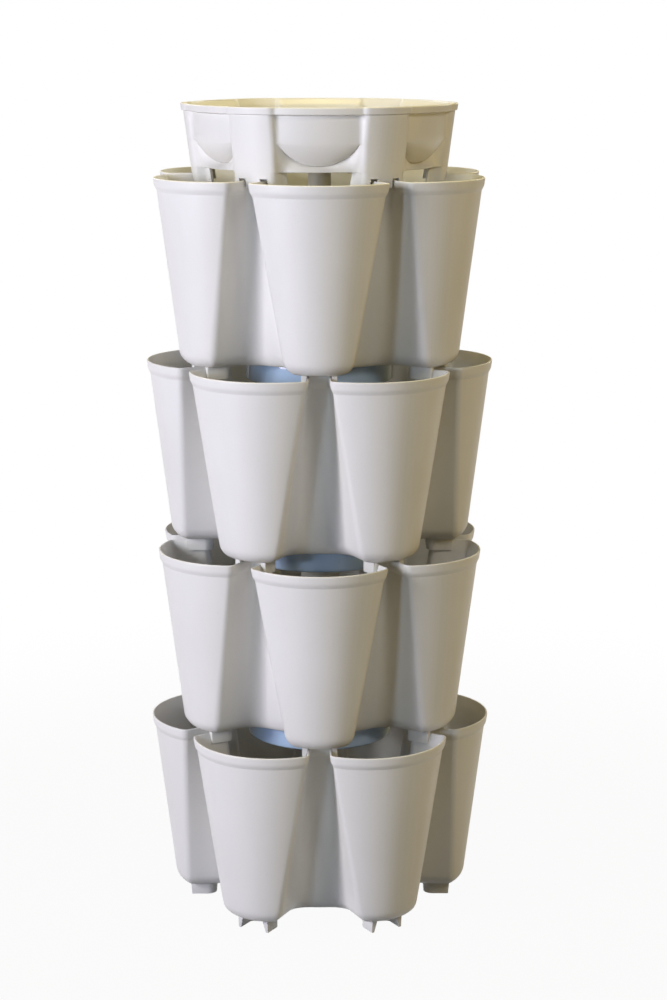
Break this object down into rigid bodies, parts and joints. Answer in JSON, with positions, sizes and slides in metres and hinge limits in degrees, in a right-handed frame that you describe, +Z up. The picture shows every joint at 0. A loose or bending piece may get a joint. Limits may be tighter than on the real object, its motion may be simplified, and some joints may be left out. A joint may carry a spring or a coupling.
{
  "type": "vertical planter tower",
  "caption": "Stacking self-watering planter tower: lobed plastic tiers with tapering open pockets, each turned against the next, a lobed water reservoir on top and water discs between tiers",
  "frame": {"origin": "on the ground, on the tower's vertical axis, under the feet of the lowest tier", "axes": "+Z is up the tower's axis, -Y is the side that the picture shows, +X is to the right in the picture"},
  "size_m": [0.454, 0.454, 1.0685],
  "materials": {
    "stone_plastic": "pale warm grey moulded plastic with a soft satin sheen",
    "disc_plastic": "smooth glossy blue-grey moulded plastic"
  },
  "bodies": {
    "tier_4": {"tier_4": "stone_plastic"},
    "water_disc_3": {"water_disc_3": "disc_plastic"},
    "tier_3": {"tier_3": "stone_plastic"},
    "water_disc_2": {"water_disc_2": "disc_plastic"},
    "tier_2": {"tier_2": "stone_plastic"},
    "water_disc_1": {"water_disc_1": "disc_plastic"},
    "tier_1": {"tier_1": "stone_plastic"},
    "reservoir": {"reservoir": "stone_plastic"}
  },
  "joints": [
    {"name": "lift_water_disc_3", "type": "slide", "parent": "tier_4", "child": "water_disc_3", "axis": [0, 0, 1], "range_m": [0, 0.06]},
    {"name": "lift_tier_3", "type": "slide", "parent": "water_disc_3", "child": "tier_3", "axis": [0, 0, 1], "range_m": [0, 0.12]},
    {"name": "lift_water_disc_2", "type": "slide", "parent": "tier_3", "child": "water_disc_2", "axis": [0, 0, 1], "range_m": [0, 0.06]},
    {"name": "lift_tier_2", "type": "slide", "parent": "water_disc_2", "child": "tier_2", "axis": [0, 0, 1], "range_m": [0, 0.12]},
    {"name": "lift_water_disc_1", "type": "slide", "parent": "tier_2", "child": "water_disc_1", "axis": [0, 0, 1], "range_m": [0, 0.06]},
    {"name": "lift_tier_1", "type": "slide", "parent": "water_disc_1", "child": "tier_1", "axis": [0, 0, 1], "range_m": [0, 0.12]},
    {"name": "lift_reservoir", "type": "slide", "parent": "tier_1", "child": "reservoir", "axis": [0, 0, 1], "range_m": [0, 0.15]}
  ]
}
